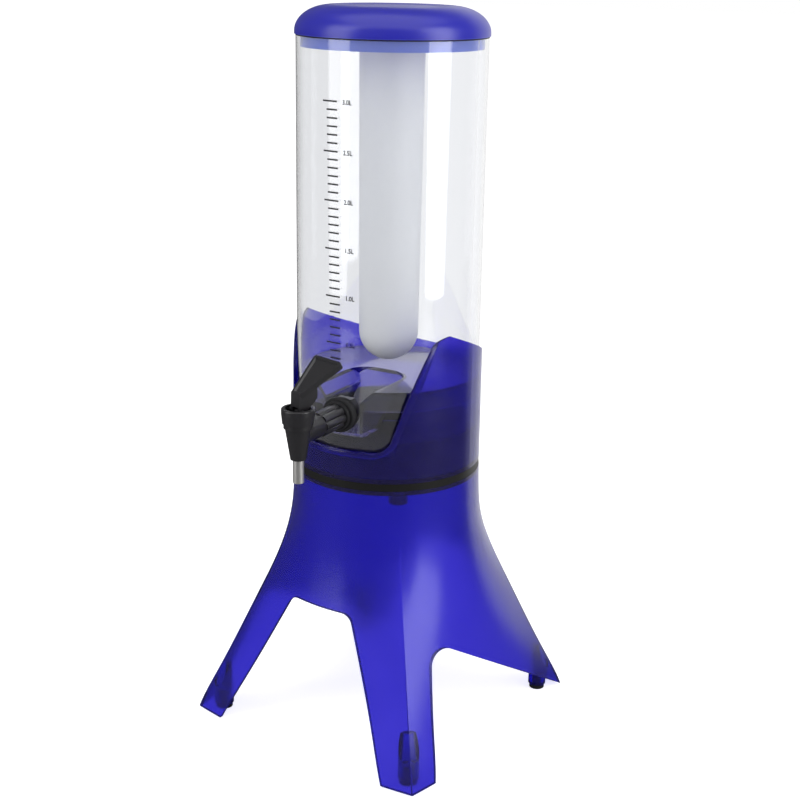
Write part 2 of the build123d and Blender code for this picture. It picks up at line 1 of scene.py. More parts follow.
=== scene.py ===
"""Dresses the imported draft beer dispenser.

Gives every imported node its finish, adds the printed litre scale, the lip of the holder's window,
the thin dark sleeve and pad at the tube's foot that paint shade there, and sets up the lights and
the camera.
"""

from __future__ import annotations

import json
import logging
import math
from dataclasses import dataclass, field
from enum import Enum

import bmesh
import bpy
from mathutils import Matrix, Vector

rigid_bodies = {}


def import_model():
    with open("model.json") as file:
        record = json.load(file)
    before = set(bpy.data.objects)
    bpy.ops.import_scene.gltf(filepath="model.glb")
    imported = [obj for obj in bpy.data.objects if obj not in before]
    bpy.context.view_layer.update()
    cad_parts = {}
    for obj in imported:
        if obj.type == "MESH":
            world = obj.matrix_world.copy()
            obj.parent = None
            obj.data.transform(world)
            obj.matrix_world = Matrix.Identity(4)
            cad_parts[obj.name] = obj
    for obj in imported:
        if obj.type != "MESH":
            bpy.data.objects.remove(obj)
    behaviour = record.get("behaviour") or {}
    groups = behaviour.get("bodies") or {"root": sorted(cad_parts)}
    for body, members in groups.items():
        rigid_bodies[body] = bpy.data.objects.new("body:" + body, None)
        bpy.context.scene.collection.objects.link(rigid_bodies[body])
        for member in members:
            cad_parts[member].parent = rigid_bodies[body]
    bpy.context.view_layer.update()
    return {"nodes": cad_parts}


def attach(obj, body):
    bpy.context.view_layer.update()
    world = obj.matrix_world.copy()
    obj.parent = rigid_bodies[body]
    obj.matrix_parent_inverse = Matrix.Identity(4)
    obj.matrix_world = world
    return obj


LOG = logging.getLogger("beer_dispenser")
MM = 0.001

# Refractive indices of the plastics.
SOLID_INDEX = 1.5
CLEAR_INDEX = 1.49
MILKY_INDEX = 1.46

# Layers in the noise patterns, and the part of a pattern's range that most of it lies in.
MOTTLE_LAYERS = 3.0
GRAIN_LAYERS = 2.0
NOISE_LOW = 0.3
NOISE_HIGH = 0.7

# Points nearer than this count as one where a mesh is cut or welded, in metres.
WELD = 1e-7
# Profile of a bevel that is part of a circle.
ROUND_PROFILE = 0.5

Colour = tuple[float, float, float]
Socket = bpy.types.NodeSocket


class Body(Enum):
    """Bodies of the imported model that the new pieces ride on."""

    TURNTABLE = "turntable"
    TOWER = "tower"


class Grain(Enum):
    """How a surface's fine texture runs."""

    EVEN = (1.0, 1.0, 1.0)
    UPRIGHT = (1.0, 1.0, 0.06)
    ROUND = (0.08, 0.08, 1.0)


def feed(tree: bpy.types.NodeTree, value: Socket | float, target: Socket) -> None:
    """Gives a socket its value, by a link or as a constant.

    Args:
        tree: node tree to work in.
        value: socket to link, or a constant.
        target: socket that takes it.
    """
    if isinstance(value, float):
        target.default_value = value
    else:
        tree.links.new(value, target)


def calc(
    tree: bpy.types.NodeTree, operation: str, first: Socket, second: Socket | float = 0.0
) -> Socket:
    """Works out one step of arithmetic in a node tree.

    Args:
        tree: node tree to work in.
        operation: name of the operation.
        first: first value.
        second: second value, a socket or a constant.

    Returns:
        The result.
    """
    node = tree.nodes.new("ShaderNodeMath")
    node.operation = operation
    tree.links.new(first, node.inputs[0])
    feed(tree, second, node.inputs[1])
    return node.outputs["Value"]


def between(
    tree: bpy.types.NodeTree, fac: Socket, low: Socket | float, high: Socket | float
) -> Socket:
    """Turns a factor into a value between two others.

    Args:
        tree: node tree to work in.
        fac: factor, 0 to 1.
        low: value at 0.
        high: value at 1.

    Returns:
        The value.
    """
    node = tree.nodes.new("ShaderNodeMapRange")
    feed(tree, low, node.inputs["To Min"])
    feed(tree, high, node.inputs["To Max"])
    tree.links.new(fac, node.inputs["Value"])
    return node.outputs["Result"]


def soft_step(tree: bpy.types.NodeTree, value: Socket, start: float, end: float) -> Socket:
    """Turns a value into a factor that rises softly from 0 to 1.

    Args:
        tree: node tree to work in.
        value: value to look at.
        start: value where the factor leaves 0.
        end: value where the factor reaches 1.

    Returns:
        The factor.
    """
    node = tree.nodes.new("ShaderNodeMapRange")
    node.interpolation_type = "SMOOTHSTEP"
    node.inputs["From Min"].default_value = start
    node.inputs["From Max"].default_value = end
    tree.links.new(value, node.inputs["Value"])
    return node.outputs["Result"]


class Shading:
    """Node tree of one material, with short calls for the nodes that the finishes share."""

    def __init__(self, name: str) -> None:
        """Starts a material with a plain shader.

        Args:
            name: name of the material.
        """
        self.material = bpy.data.materials.new(name)
        self.material.use_nodes = True
        self.tree = self.material.node_tree
        self.shader = self.tree.nodes["Principled BSDF"]
        self.output = self.tree.nodes["Material Output"]
        self.place = self.tree.nodes.new("ShaderNodeTexCoord").outputs["Object"]

    def join(self, source: Socket, target: Socket) -> None:
        """Links two sockets.

        Args:
            source: socket that gives the value.
            target: socket that takes it.
        """
        self.tree.links.new(source, target)

    def drive(self, name: str, source: Socket) -> None:
        """Links a value to one of the shader's sockets.

        Args:
            name: name of the shader's socket.
            source: socket that gives the value.
        """
        self.join(source, self.shader.inputs[name])

    def set(self, **values: object) -> None:
        """Sets constants on the shader's own sockets.

        Args:
            values: socket name, with its spaces written as underscores, to value.
        """
        for name, value in values.items():
            self.shader.inputs[name.replace("_", " ")].default_value = value

    def noise(self, scale: float, layers: float, grain: Grain) -> Socket:
        """Adds a noise pattern in the object's own coordinates.

        Args:
            scale: repeats in a metre.
            layers: number of finer layers.
            grain: direction in which the pattern is drawn out.

        Returns:
            The pattern's factor, about 0 to 1.
        """
        turn = self.tree.nodes.new("ShaderNodeMapping")
        turn.inputs["Scale"].default_value = grain.value
        self.join(self.place, turn.inputs["Vector"])
        pattern = self.tree.nodes.new("ShaderNodeTexNoise")
        pattern.inputs["Scale"].default_value = scale
        pattern.inputs["Detail"].default_value = layers
        self.join(turn.outputs["Vector"], pattern.inputs["Vector"])
        return pattern.outputs["Fac"]

    def spread(self, pattern: Socket, low: float, high: float) -> Socket:
        """Spreads a noise pattern between two values.

        Args:
            pattern: the pattern's factor, about 0 to 1.
            low: value where the pattern is low.
            high: value where the pattern is high.

        Returns:
            The spread value.
        """
        value = between(self.tree, pattern, low, high)
        value.node.inputs["From Min"].default_value = NOISE_LOW
        value.node.inputs["From Max"].default_value = NOISE_HIGH
        return value

    def upright(self, vector: Socket) -> Socket:
        """Takes the upright part of a place or a direction.

        Args:
            vector: place or direction.

        Returns:
            Its Z value.
        """
        node = self.tree.nodes.new("ShaderNodeSeparateXYZ")
        self.join(vector, node.inputs["Vector"])
        return node.outputs["Z"]

    def lying_flat(self, start: float, end: float) -> Socket:
        """Tells how far a surface lies flat, whichever side of it faces up.

        Args:
            start: upright part of its direction where the factor leaves 0.
            end: upright part where it reaches 1.

        Returns:
            A factor from 0 to 1.
        """
        geometry = self.tree.nodes.new("ShaderNodeNewGeometry")
        lean = calc(self.tree, "ABSOLUTE", self.upright(geometry.outputs["Normal"]))
        return soft_step(self.tree, lean, start, end)

    def facing_up(self, start: float, end: float) -> Socket:
        """Tells how far the outside of a surface faces up.

        Args:
            start: upright part of its direction where the factor leaves 0.
            end: upright part where it reaches 1.

        Returns:
            A factor from 0 to 1, and 0 for a surface seen from within.
        """
        geometry = self.tree.nodes.new("ShaderNodeNewGeometry")
        up = soft_step(self.tree, self.upright(geometry.outputs["Normal"]), start, end)
        inside = calc(self.tree, "MULTIPLY", up, geometry.outputs["Backfacing"])
        return calc(self.tree, "SUBTRACT", up, inside)

    def blend(self, fac: Socket, low: Colour, high: Colour) -> Socket:
        """Blends two colours by a factor.

        Args:
            fac: factor, 0 to 1.
            low: colour at 0.
            high: colour at 1.

        Returns:
            The blended colour.
        """
        node = self.tree.nodes.new("ShaderNodeMix")
        node.data_type = "RGBA"
        node.inputs["A"].default_value = (*low, 1.0)
        node.inputs["B"].default_value = (*high, 1.0)
        self.join(fac, node.inputs["Factor"])
        return node.outputs["Result"]

    def bump(self, height: Socket, strength: float, depth: float) -> None:
        """Adds fine relief to the shader.

        Args:
            height: pattern, about 0 to 1.
            strength: share of the relief that shows.
            depth: depth of the relief in metres.
        """
        node = self.tree.nodes.new("ShaderNodeBump")
        node.inputs["Strength"].default_value = strength
        node.inputs["Distance"].default_value = depth
        self.join(height, node.inputs["Height"])
        self.drive("Normal", node.outputs["Normal"])

    def absorb(self, colour: Colour, density: float) -> None:
        """Lets the material's depth take up light, so that thick and edge-on places go darker.

        Args:
            colour: colour that passes.
            density: light taken up in a metre.
        """
        node = self.tree.nodes.new("ShaderNodeVolumeAbsorption")
        node.inputs["Color"].default_value = (*colour, 1.0)
        node.inputs["Density"].default_value = density
        self.join(node.outputs["Volume"], self.output.inputs["Volume"])


@dataclass(frozen=True)
class Finish:
    """One surface finish, with the small unevenness that a moulded or drawn surface has."""

    name: str
    colour: Colour
    roughness: float
    shift: float = 0.06
    wander: float = 0.04
    mottle_scale: float = 45.0
    grain_scale: float = 2600.0
    grain_depth: float = 0.03 * MM
    grain_strength: float = 0.2
    grain: Grain = Grain.EVEN

    def material(self) -> bpy.types.Material:
        """Makes the finish as a material.

        Returns:
            The material.
        """
        shading = Shading(self.name)
        mottle = shading.noise(self.mottle_scale, MOTTLE_LAYERS, self.grain)
        shading.drive("Base Color", self.tone(shading, mottle))
        smooth, rough = self.roughness - self.wander, self.roughness + self.wander
        shading.drive("Roughness", shading.spread(mottle, smooth, rough))
        fine = shading.noise(self.grain_scale, GRAIN_LAYERS, self.grain)
        shading.bump(fine, self.grain_strength, self.grain_depth)
        self.tune(shading)
        return shading.material

    def tone(self, shading: Shading, mottle: Socket) -> Socket:
        """Gives the colour over the surface, a little uneven.

        Args:
            shading: node tree of the material.
            mottle: coarse pattern of the unevenness.

        Returns:
            The colour.
        """
        low = tuple(c * (1.0 - self.shift) for c in self.colour)
        high = tuple(min(1.0, c * (1.0 + self.shift)) for c in self.colour)
        return shading.blend(mottle, low, high)

    def tune(self, shading: Shading) -> None:
        """Sets what this kind of finish has of its own.

        Args:
            shading: node tree of the material.
        """
        shading.set(IOR=SOLID_INDEX)


@dataclass(frozen=True)
class TintedPlastic(Finish):
    """See-through coloured plastic with a satin skin."""

    passed: Colour = (0.5, 0.5, 0.9)
    density: float = 300.0
    clear_share: float = 0.9

    def tune(self, shading: Shading) -> None:
        """Lets light through and takes up its red and green on the way.

        Args:
            shading: node tree of the material.
        """
        shading.set(IOR=CLEAR_INDEX, Transmission_Weight=self.clear_share)
        shading.absorb(self.passed, self.density)


@dataclass(frozen=True)
class ClearPlastic(Finish):
    """Clear plastic, almost without colour."""

    def tune(self, shading: Shading) -> None:
        """Lets all light through.

        Args:
            shading: node tree of the material.
        """
        shading.set(IOR=CLEAR_INDEX, Transmission_Weight=1.0)


@dataclass(frozen=True)
class HazyPlastic(ClearPlastic):
    """Clear plastic with upper faces dulled by use, and painted shade on its upright walls."""

    haze: float = 0.2
    haze_start: float = 0.5
    haze_full: float = 0.95
    # Painted shade: dark colour of the upright walls, for how dark they look edge-on.
    painted_wall_shade: Colour = (0.13, 0.11, 0.32)
    wall_shade_end: float = 0.35
    flat_start: float = 0.7

    def tone(self, shading: Shading, mottle: Socket) -> Socket:
        """Paints shade on the upright walls as a dark colour and leaves flat faces clear.

        Args:
            shading: node tree of the material.
            mottle: coarse pattern, which doesn't show in this finish's colour.

        Returns:
            The colour.
        """
        level = shading.lying_flat(self.wall_shade_end, self.flat_start)
        return shading.blend(level, self.painted_wall_shade, self.colour)

    def tune(self, shading: Shading) -> None:
        """Lets light through and dulls only what faces up.

        Args:
            shading: node tree of the material.
        """
        shading.set(IOR=CLEAR_INDEX)
        up = shading.facing_up(self.haze_start, self.haze_full)
        shading.drive("Transmission Weight", between(shading.tree, up, 1.0, 1.0 - self.haze))


@dataclass(frozen=True)
class LidPlastic(TintedPlastic):
    """Tinted plastic of the lid, paler in the thin plug ring below the seat."""

    seat: float = 534.5 * MM
    seat_blend: float = 1.0 * MM
    plug_colour: Colour = (0.2, 0.29, 0.95)
    plug_clear_share: float = 0.35
    sheen_level: float = 0.9

    def above_seat(self, shading: Shading) -> Socket:
        """Tells the cap above the seat from the plug below it.

        Args:
            shading: node tree of the material.

        Returns:
            A factor from 0 below the seat to 1 above it.
        """
        height = shading.upright(shading.place)
        return soft_step(shading.tree, height, self.seat - self.seat_blend, self.seat)

    def tone(self, shading: Shading, mottle: Socket) -> Socket:
        """Thins the colour out below the seat.

        Args:
            shading: node tree of the material.
            mottle: coarse pattern, which doesn't show in this finish's colour.

        Returns:
            The colour.
        """
        return shading.blend(self.above_seat(shading), self.plug_colour, self.colour)

    def tune(self, shading: Shading) -> None:
        """Tints the cap and lets less light through the plug.

        Args:
            shading: node tree of the material.
        """
        super().tune(shading)
        shading.set(Specular_IOR_Level=self.sheen_level)
        above = self.above_seat(shading)
        share = between(shading.tree, above, self.plug_clear_share, self.clear_share)
        shading.drive("Transmission Weight", share)


@dataclass(frozen=True)
class FrostedPlastic(Finish):
    """Milky plastic that lets only a little light through."""

    clear_share: float = 0.08

    def tune(self, shading: Shading) -> None:
        """Lets a share of the light through.

        Args:
            shading: node tree of the material.
        """
        shading.set(IOR=MILKY_INDEX, Transmission_Weight=self.clear_share)


@dataclass(frozen=True)
class SatinPlastic(Finish):
    """Solid moulded plastic or rubber with a thin sheen."""

    sheen_level: float = 0.5

    def tune(self, shading: Shading) -> None:
        """Sets how strongly the skin mirrors.

        Args:
            shading: node tree of the material.
        """
        shading.set(IOR=SOLID_INDEX, Specular_IOR_Level=self.sheen_level)


@dataclass(frozen=True)
class Metal(Finish):
    """Bare drawn or turned steel."""

    def tune(self, shading: Shading) -> None:
        """Makes the surface metal.

        Args:
            shading: node tree of the material.
        """
        shading.set(Metallic=1.0)


STAND_BLUE = TintedPlastic(
    "stand_blue_plastic",
    (0.155, 0.115, 0.82),
    0.235,
    wander=0.025,
    passed=(0.31, 0.31, 0.9),
    density=640.0,
    clear_share=0.94,
    grain_scale=160.0,
    grain_strength=0.02,
)
HOLDER_BLUE = TintedPlastic(
    "holder_blue_plastic",
    (0.14, 0.1, 0.82),
    0.22,
    passed=(0.3, 0.29, 0.83),
    density=700.0,
    clear_share=0.95,
    grain_scale=160.0,
    grain_strength=0.02,
)
LID_BLUE = LidPlastic(
    "lid_blue_plastic",
    (0.036, 0.036, 0.72),
    0.32,
    wander=0.03,
    passed=(0.36, 0.4, 0.88),
    density=560.0,
    clear_share=0.6,
    grain_scale=160.0,
    grain_strength=0.02,
)
BLACK_RUBBER = SatinPlastic(
    "black_rubber_skin",
    (0.014, 0.014, 0.016),
    0.62,
    sheen_level=0.3,
    grain_scale=1500.0,
    grain_depth=0.05 * MM,
)
SEAL_BLACK = SatinPlastic("seal_black_rubber", (0.014, 0.014, 0.018), 0.5, sheen_level=0.3)
# Painted shade: near-black colour of the thin sleeve and pad that darken the holder's lower part.
SHADE_SHEET_DARK = SatinPlastic("painted_shade_sheet", (0.008, 0.006, 0.022), 0.6, sheen_level=0.15)
RING_BLACK = SatinPlastic("ring_black_plastic", (0.009, 0.009, 0.008), 0.45, sheen_level=0.3)
TAP_BLACK = SatinPlastic(
    "tap_black_plastic",
    (0.016, 0.0155, 0.018),
    0.32,
    wander=0.03,
    sheen_level=0.6,
    grain_scale=1900.0,
    grain_depth=0.02 * MM,
)
STEM_PLASTIC = SatinPlastic("stem_grey_plastic", (0.5, 0.5, 0.49), 0.4)
STEEL = Metal(
    "drawn_steel", (0.92, 0.91, 0.89), 0.46, grain_scale=900.0, grain=Grain.UPRIGHT, shift=0.03
)
SCREW_STEEL = Metal(
    "screw_steel", (0.5, 0.49, 0.47), 0.32, grain_scale=700.0, grain=Grain.ROUND
)
CLEAR = ClearPlastic(
    "clear_tube_plastic",
    (0.95, 0.957, 0.972),
    0.03,
    shift=0.004,
    wander=0.01,
    grain_scale=60.0,
    grain_strength=0.02,
)
CLEAR_FLOOR = HazyPlastic(
    "clear_floor_plastic",
    (0.9, 0.9, 0.965),
    0.08,
    wander=0.03,
    grain_scale=120.0,
    grain_strength=0.1,
)
FROST_WHITE = FrostedPlastic(
    "frosted_white_plastic", (0.86, 0.875, 0.9), 0.5, shift=0.02, grain_strength=0.08
)
INK = Finish(
    "print_ink",
    (0.012, 0.012, 0.014),
    0.5,
    mottle_scale=900.0,
    grain_scale=6000.0,
    grain_strength=0.05,
)

NODE_FINISHES: dict[str, Finish] = {
    "base_shell": STAND_BLUE,
    "holder": HOLDER_BLUE,
    "lid_cap": LID_BLUE,
    "rubber_feet": BLACK_RUBBER,
    "lid_seal": SEAL_BLACK,
    "inner_washer": BLACK_RUBBER,
    "flange_washer": BLACK_RUBBER,
    "stem_seal": BLACK_RUBBER,
    "valve_plug": BLACK_RUBBER,
    "ice_tube_seal": SEAL_BLACK,
    "swivel_ring": RING_BLACK,
    "swivel_retainer": RING_BLACK,
    "retainer_screws": SCREW_STEEL,
    "lever_pin": TAP_BLACK,
    "nozzle_tube": STEEL,
    "beer_tube": CLEAR,
    "tube_floor": CLEAR_FLOOR,
    "tap_body": TAP_BLACK,
    "shank_collar": TAP_BLACK,
    "bonnet": TAP_BLACK,
    "lever": TAP_BLACK,
    "lock_nut": TAP_BLACK,
    "ice_tube": FROST_WHITE,
    "valve_stem": STEM_PLASTIC,
}


def add_object(name: str, data: bpy.types.ID) -> bpy.types.Object:
    """Adds an object to the scene.

    Args:
        name: name of the object.
        data: its mesh, lamp or camera.

    Returns:
        The object.
    """
    thing = bpy.data.objects.new(name, data)
    bpy.context.scene.collection.objects.link(thing)
    return thing


def mesh_data(name: str, shape: bmesh.types.BMesh) -> bpy.types.Mesh:
    """Turns a bmesh into a mesh.

    Args:
        name: name of the mesh.
        shape: its shape, freed here.

    Returns:
        The mesh.
    """
    data = bpy.data.meshes.new(name)
    shape.to_mesh(data)
    shape.free()
    return data


@dataclass
class Workshop:
    """Keeps one material for each finish and turns a finished bmesh into a piece."""

    made: dict[str, bpy.types.Material] = field(default_factory=dict)

    def paint(self, finish: Finish) -> bpy.types.Material:
        """Gives a finish's material, made once.

        Args:
            finish: the finish.

        Returns:
            Its material.
        """
        if finish.name not in self.made:
            self.made[finish.name] = finish.material()
        return self.made[finish.name]

    def dress_nodes(self, nodes: dict[str, bpy.types.Object]) -> None:
        """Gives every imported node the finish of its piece.

        Args:
            nodes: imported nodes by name.
        """
        for name, node in nodes.items():
            node.data.materials.clear()
            node.data.materials.append(self.paint(NODE_FINISHES[name]))
            LOG.info("dressed %s with %s", name, NODE_FINISHES[name].name)

    def piece(
        self, name: str, mesh: bmesh.types.BMesh, finish: Finish, body: Body
    ) -> bpy.types.Object:
        """Turns a bmesh in its final place into a piece that rides on a body.

        Args:
            name: name of the piece.
            mesh: its shape, freed here.
            finish: its finish.
            body: body that it moves with.

        Returns:
            The piece's object.
        """
        data = mesh_data(name, mesh)
        data.materials.append(self.paint(finish))
        piece = add_object(name, data)
        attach(piece, body.value)
        LOG.info("built %s on %s with %d faces", name, body.value, len(data.polygons))
        return piece


def thicken(mesh: bmesh.types.BMesh, way: tuple[float, float, float]) -> list[bmesh.types.BMVert]:
    """Gives a flat shape a thickness.

    Args:
        mesh: flat shape.
        way: direction and thickness.

    Returns:
        The points of the side that was moved out.
    """
    flat = list(mesh.faces)
    grown = bmesh.ops.extrude_face_region(mesh, geom=flat, use_keep_orig=True)["geom"]
    raised = [item for item in grown if isinstance(item, bmesh.types.BMVert)]
    bmesh.ops.translate(mesh, verts=raised, vec=way)
    return raised


def slice_through(
    mesh: bmesh.types.BMesh,
    spot: tuple[float, float, float],
    normal: tuple[float, float, float],
    clear_outer: bool = False,
) -> None:
    """Cuts a mesh along a plane.

    Args:
        mesh: mesh to cut.
        spot: a point of the plane.
        normal: direction in which the plane faces.
        clear_outer: whether the side that the plane faces is removed.
    """
    bmesh.ops.bisect_plane(
        mesh,
        geom=mesh.verts[:] + mesh.edges[:] + mesh.faces[:],
        dist=WELD,
        plane_co=spot,
        plane_no=normal,
        clear_outer=clear_outer,
    )


@dataclass
class LitreScale:
    """Black scale on the clear tube: long marks with numbers each half litre, short ones between.

    The print is laid out flat, with X along the tube's wall, Y off the wall and Z up, and is then
    bent round the tube. The middle of the layout comes to lie at -Y.
    """

    wall_radius: float = 70.0 * MM
    film: float = 0.1 * MM
    lift: float = 0.06 * MM
    lowest_label: float = 0.5
    label_step: float = 0.5
    label_count: int = 6
    first_height: float = 319.1 * MM
    label_spacing: float = 34.5 * MM
    short_between: int = 5
    short_below: int = 3
    right_end: float = math.radians(-3.0)
    long_length: float = 12.6 * MM
    short_length: float = 9.2 * MM
    thickness: float = 1.15 * MM
    mark_segments: int = 8
    skew: float = math.tan(math.radians(1.25))
    number_start: float = math.radians(0.6)
    number_height: float = 4.7 * MM
    number_squeeze: float = 0.9
    number_weight: float = 0.12 * MM
    number_drop: float = 1.9 * MM
    number_resolution: int = 3

    def spot(self, along: float, height: float) -> Matrix:
        """Gives the place of a piece of print, stood up from the XY plane.

        Args:
            along: way along the wall if the scale were printed straight.
            height: height of the print.

        Returns:
            The place, moved along by how far the scale, printed a little askew, has wandered.
        """
        top = self.first_height + (self.label_count - 1) * self.label_spacing
        drift = (top - height) * self.skew
        place = Matrix.Translation((along + drift, self.lift, height))
        return place @ Matrix.Rotation(math.pi / 2, 4, "X")

    def mark(self, mesh: bmesh.types.BMesh, height: float, length: float) -> None:
        """Adds one flat mark.

        Args:
            mesh: scale to add it to.
            height: height of the mark.
            length: length of the mark along the wall.
        """
        place = self.spot(self.right_end * self.wall_radius - length / 2, height)
        size = Matrix.Diagonal((length / 2, self.thickness / 2, 1.0, 1.0))
        bmesh.ops.create_grid(
            mesh, x_segments=self.mark_segments, y_segments=1, size=1.0, matrix=place @ size
        )

    def lay_on_tube(self, mesh: bmesh.types.BMesh) -> None:
        """Gives flat print the thickness of its ink and bends it round the tube.

        Args:
            mesh: flat print.
        """
        thicken(mesh, (0.0, self.film, 0.0))
        for vert in mesh.verts:
            angle = vert.co.x / self.wall_radius
            reach = self.wall_radius + vert.co.y
            vert.co = Vector((reach * math.sin(angle), -reach * math.cos(angle), vert.co.z))
        bmesh.ops.recalc_face_normals(mesh, faces=mesh.faces)

    def build_marks(self, workshop: Workshop) -> None:
        """Builds the long and short marks.

        Args:
            workshop: maker of the piece.
        """
        mesh = bmesh.new()
        per_label = self.short_between + 1
        step = self.label_spacing / per_label
        for index in range(-self.short_below, (self.label_count - 1) * per_label + 1):
            length = self.long_length if index % per_label == 0 else self.short_length
            self.mark(mesh, self.first_height + index * step, length)
        self.lay_on_tube(mesh)
        workshop.piece("scale_marks", mesh, INK, Body.TOWER)

    def build_numbers(self, workshop: Workshop) -> None:
        """Builds the litre numbers as flat shapes and bends them onto the tube.

        Args:
            workshop: maker of the piece.
        """
        mesh = bmesh.new()
        squeeze = Matrix.Diagonal((self.number_squeeze, 1.0, 1.0, 1.0))
        for index in range(self.label_count):
            curve = bpy.data.curves.new("litre_number", "FONT")
            curve.body = f"{self.lowest_label + index * self.label_step:.1f}L"
            curve.size = self.number_height
            curve.resolution_u = self.number_resolution
            curve.offset = self.number_weight
            text = bpy.data.objects.new("litre_number", curve)
            flat = bpy.data.meshes.new_from_object(text)
            height = self.first_height + index * self.label_spacing - self.number_drop
            flat.transform(self.spot(self.number_start * self.wall_radius, height) @ squeeze)
            mesh.from_mesh(flat)
            bpy.data.objects.remove(text)
            bpy.data.curves.remove(curve)
            bpy.data.meshes.remove(flat)
        bmesh.ops.remove_doubles(mesh, verts=mesh.verts, dist=WELD)
        bmesh.ops.triangulate(mesh, faces=mesh.faces)
        self.lay_on_tube(mesh)
        workshop.piece("scale_numbers", mesh, INK, Body.TOWER)

    def build(self, workshop: Workshop) -> None:
        """Builds the whole scale.

        Args:
            workshop: maker of the pieces.
        """
        self.build_marks(workshop)
        self.build_numbers(workshop)


@dataclass
class WindowShape:
    """Outline of the holder's window, seen straight on before the turn about Z."""

    bottom: float = 238.3 * MM
    half_bottom: float = 42.8 * MM
    slope: float = math.radians(14.9)
    corner: float = 13.0 * MM
    turn: float = math.radians(-6.8)

    def half_width(self, height: float, margin: float = 0.0) -> float:
        """Gives the window's half width at a height.

        Args:
            height: height in metres.
            margin: distance outside the window's edge.

        Returns:
            The half width in metres.
        """
        edge = self.half_bottom + (height - self.bottom) * math.tan(self.slope)
        return edge + margin / math.cos(self.slope)

    def turn_mesh(self, mesh: bmesh.types.BMesh) -> None:
        """Turns a shape that was made round the window to where the window is.

        Args:
            mesh: shape to turn.
        """
        bmesh.ops.rotate(mesh, verts=mesh.verts, matrix=Matrix.Rotation(self.turn, 3, "Z"))


@dataclass
class WindowLip:
    """Raised lip that runs down, along and up the edge of the holder's window.

    It is laid out flat, with X across the window, Y off the holder's wall and Z up.
    """

    window: WindowShape = field(default_factory=WindowShape)
    width: float = 4.2 * MM
    proud: float = 0.9 * MM
    sunk: float = 0.25 * MM
    round: float = 0.6 * MM
    round_cuts: int = 3
    sharp: float = 1.0
    top: float = 320.0 * MM
    fade: float = 6.0 * MM
    narrow_from: float = 290.0 * MM
    narrowing: float = 0.6
    foot_radius: float = 72.5 * MM
    foot_height: float = 215.0 * MM
    draft: float = 0.5 / 136.0
    cuts: int = 12
    corner_cuts: int = 10

    def flat_band(self, mesh: bmesh.types.BMesh) -> None:
        """Draws the lip as a flat band along the window's edge, open at the top.

        Args:
            mesh: mesh to draw in.
        """
        low, high = self.window.bottom - self.width, self.top + 2 * self.width
        outline = []
        for side, height in [(-1, low), (1, low), (1, high), (-1, high)]:
            across = side * self.window.half_width(height, self.width)
            outline.append(mesh.verts.new((across, 0.0, height)))
        mesh.faces.new(outline)
        corner_angle = math.pi / 2 - self.window.slope
        bmesh.ops.bevel(
            mesh,
            geom=[vert for vert in mesh.verts if vert.co.z < self.window.bottom],
            offset=(self.window.corner + self.width) * math.tan(corner_angle / 2),
            segments=self.corner_cuts,
            profile=ROUND_PROFILE,
            affect="VERTICES",
            material=-1,
        )
        straight = [edge for edge in mesh.edges if edge.calc_length() > self.window.corner]
        bmesh.ops.subdivide_edges(mesh, edges=straight, cuts=self.cuts)
        pane = list(mesh.faces)
        bmesh.ops.inset_region(
            mesh, faces=pane, thickness=self.width, use_boundary=True, use_even_offset=True
        )
        bmesh.ops.delete(mesh, geom=pane, context="FACES")
        slice_through(mesh, (0.0, 0.0, self.top), (0.0, 0.0, 1.0), clear_outer=True)

    def narrow(self, mesh: bmesh.types.BMesh) -> None:
        """Narrows the flat band towards its upper ends.

        Args:
            mesh: flat band.
        """
        for vert in mesh.verts:
            rise = (vert.co.z - self.narrow_from) / (self.top - self.narrow_from)
            if rise > 0.0:
                edge = math.copysign(self.window.half_width(vert.co.z), vert.co.x)
                vert.co.x = edge + (vert.co.x - edge) * (1.0 - self.narrowing * rise)

    def lay_on_holder(self, mesh: bmesh.types.BMesh) -> None:
        """Bends the flat lip round the holder's drafted wall and sinks its upper ends into it.

        Args:
            mesh: flat lip.
        """
        for vert in mesh.verts:
            keep = min(1.0, max(0.0, (self.top - vert.co.z) / self.fade))
            wall = self.foot_radius - (vert.co.z - self.foot_height) * self.draft
            reach = wall + min(vert.co.y, self.proud * keep - self.sunk * (1.0 - keep))
            angle = math.asin(vert.co.x / wall)
            vert.co = Vector((reach * math.sin(angle), -reach * math.cos(angle), vert.co.z))
        self.window.turn_mesh(mesh)

    def build(self, workshop: Workshop) -> None:
        """Builds the lip.

        Args:
            workshop: maker of the piece.
        """
        mesh = bmesh.new()
        self.flat_band(mesh)
        self.narrow(mesh)
        bmesh.ops.translate(mesh, verts=mesh.verts, vec=(0.0, -self.sunk, 0.0))
        raised = thicken(mesh, (0.0, self.sunk + self.proud, 0.0))
        bmesh.ops.recalc_face_normals(mesh, faces=mesh.faces)
        upper = [edge for edge in mesh.edges if all(vert in raised for vert in edge.verts)]
        bmesh.ops.bevel(
            mesh,
            geom=[edge for edge in upper if edge.calc_face_angle(0.0) > self.sharp],
            offset=self.round,
            segments=self.round_cuts,
            profile=ROUND_PROFILE,
            affect="EDGES",
            clamp_overlap=True,
            material=-1,
        )
        self.lay_on_holder(mesh)
        bmesh.ops.recalc_face_normals(mesh, faces=mesh.faces)
        for face in mesh.faces:
            face.smooth = True
        lip = workshop.piece("window_lip", mesh, HOLDER_BLUE, Body.TURNTABLE)


